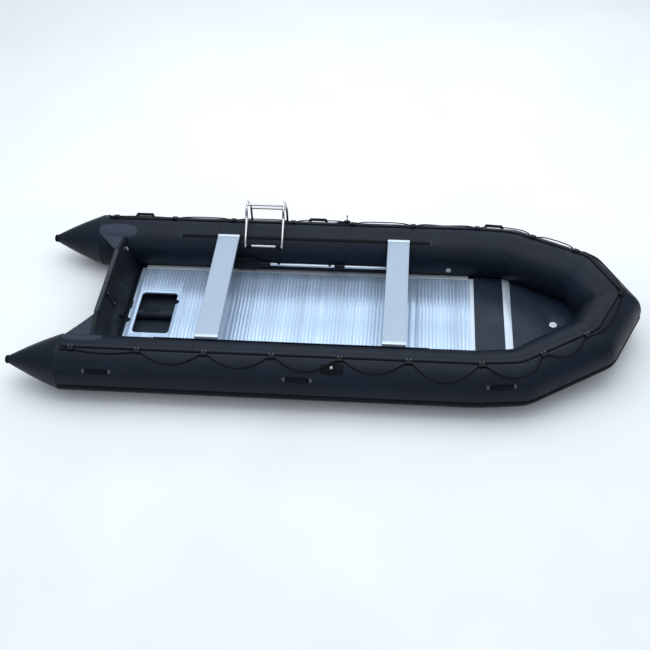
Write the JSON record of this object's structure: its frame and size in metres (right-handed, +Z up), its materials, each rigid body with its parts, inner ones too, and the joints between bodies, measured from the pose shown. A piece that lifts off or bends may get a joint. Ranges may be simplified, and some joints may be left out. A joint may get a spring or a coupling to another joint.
{
  "type": "inflatable dinghy",
  "caption": "Open inflatable dinghy with tapered stern tubes, mitred bow, raked transom, ribbed aluminium floor, plank seats, grab line, oars and boarding ladder.",
  "frame": {"origin": "under the middle of the boat's box, on the surface the tubes rest on", "axes": "+X towards the bow, +Y to port, +Z up"},
  "size_m": [5.7194, 2.2546, 0.702],
  "materials": {
    "tube_pvc": "smooth semi-matt coated fabric",
    "bottom_pvc": "matt coated fabric",
    "black_rubber": "moulded, semi-matt",
    "grey_pvc": "welded fabric patch",
    "grab_rope": "braided cord",
    "webbing": "woven strap",
    "black_board": "coated marine ply",
    "dark_trim": "extruded edge",
    "black_plastic": "moulded",
    "white_plastic": "moulded valve",
    "grey_valve": "moulded valve",
    "floor_aluminium": "ribbed mill finish",
    "grey_aluminium": "anodised extrusion",
    "seat_aluminium": "satin anodised",
    "pale_aluminium": "bright extrusion",
    "stainless": "polished stainless steel"
  },
  "bodies": {
    "hull": {"side_tubes": "tube_pvc", "bow_quarter_tubes": "tube_pvc", "stem_tube": "tube_pvc", "stern_cones": "tube_pvc", "cone_end_caps": "black_rubber", "chamber_baffles": "tube_pvc", "bottom_skin": "bottom_pvc", "keel_tube": "bottom_pvc", "rubbing_strake": "black_rubber", "rail_tape": "tube_pvc", "grab_rail": "black_rubber", "rope_holders": "black_plastic", "holder_screws": "stainless", "grab_line": "grab_rope", "handle_bases": "tube_pvc", "handle_grips": "black_rubber", "oarlock_bases": "black_rubber", "oarlock_pins": "stainless", "transom_board": "black_board", "transom_edge_cap": "dark_trim", "motor_plates": "black_plastic", "motor_plate_bolts": "stainless", "drain_bush": "black_plastic", "transom_eye": "stainless", "transom_flanges": "grey_pvc", "transom_gussets": "grey_pvc", "aft_floor_panel": "floor_aluminium", "plain_floor_panels": "floor_aluminium", "floor_joiners": "floor_aluminium", "front_floor_profile": "pale_aluminium", "side_stringers": "grey_aluminium", "bow_boards": "black_board", "bow_strip": "pale_aluminium", "keel_valve_body": "white_plastic", "tube_valve_bodies": "grey_valve", "seat_rails": "black_rubber", "oar_clips": "black_plastic", "ladder_arms": "stainless", "ladder_feet": "black_rubber", "ladder_pins": "stainless", "hatch_strap": "webbing"},
    "aft_seat": {"aft_seat_plank": "seat_aluminium", "aft_seat_ends": "pale_aluminium"},
    "front_seat": {"front_seat_plank": "seat_aluminium", "front_seat_ends": "pale_aluminium"},
    "ladder": {"ladder_frame": "stainless"},
    "port_oar": {"port_oar_shaft": "pale_aluminium", "port_oar_blade": "black_plastic", "port_oar_sleeves": "black_plastic"},
    "starboard_oar": {"starboard_oar_shaft": "pale_aluminium", "starboard_oar_blade": "black_plastic", "starboard_oar_sleeves": "black_plastic"},
    "keel_valve_lid": {"keel_valve_cap": "white_plastic"},
    "port_valve_lid": {"port_tube_valve_cap": "grey_valve"},
    "starboard_valve_lid": {"starboard_tube_valve_cap": "grey_valve"},
    "plug": {"drain_plug": "black_plastic"},
    "ring": {"transom_ring": "stainless"},
    "port_nut": {"port_oarlock_nut": "stainless"},
    "starboard_nut": {"starboard_oarlock_nut": "stainless"}
  },
  "joints": [
    {"name": "aft_seat_slide", "type": "slide", "parent": "hull", "child": "aft_seat", "axis": [1, 0, 0], "range_m": [-0.4, 0.035]},
    {"name": "front_seat_slide", "type": "slide", "parent": "hull", "child": "front_seat", "axis": [1, 0, 0], "range_m": [-1, 0.24]},
    {"name": "ladder_swing", "type": "hinge", "parent": "hull", "child": "ladder", "pos_m": [-0.69616, 0.858, 0.599], "axis": [1, 0, 0], "range_deg": [0, 60]},
    {"name": "port_oar_release", "type": "slide", "parent": "hull", "child": "port_oar", "axis": [0, -1, 0], "range_m": [0, 0.15]},
    {"name": "starboard_oar_release", "type": "slide", "parent": "hull", "child": "starboard_oar", "axis": [0, 1, 0], "range_m": [0, 0.15]},
    {"name": "keel_valve_turn", "type": "hinge", "parent": "hull", "child": "keel_valve_lid", "pos_m": [2.07884, 0, 0.122], "axis": [0, 0, 1], "range_deg": [0, 90]},
    {"name": "port_valve_turn", "type": "hinge", "parent": "hull", "child": "port_valve_lid", "pos_m": [1.10584, 0.60186, 0.21953], "axis": [0, -0.9925, -0.1219], "range_deg": [0, 90]},
    {"name": "starboard_valve_turn", "type": "hinge", "parent": "hull", "child": "starboard_valve_lid", "pos_m": [1.10584, -0.60186, 0.21953], "axis": [0, 0.9925, -0.1219], "range_deg": [0, 90]},
    {"name": "drain_plug_pull", "type": "slide", "parent": "hull", "child": "plug", "axis": [0.9563, 0, 0.2924], "range_m": [0, 0.06]},
    {"name": "transom_ring_swing", "type": "hinge", "parent": "hull", "child": "ring", "pos_m": [-2.03184, 0.56, 0.40516], "axis": [0, -1, 0], "range_deg": [0, 110]},
    {"name": "port_nut_spin", "type": "hinge", "parent": "hull", "child": "port_nut", "pos_m": [0.09584, 0.99339, 0.45479], "axis": [0, 0.5736, 0.8192], "continuous": true},
    {"name": "starboard_nut_spin", "type": "hinge", "parent": "hull", "child": "starboard_nut", "pos_m": [0.09584, -0.99339, 0.45479], "axis": [0, -0.5736, 0.8192], "continuous": true}
  ]
}
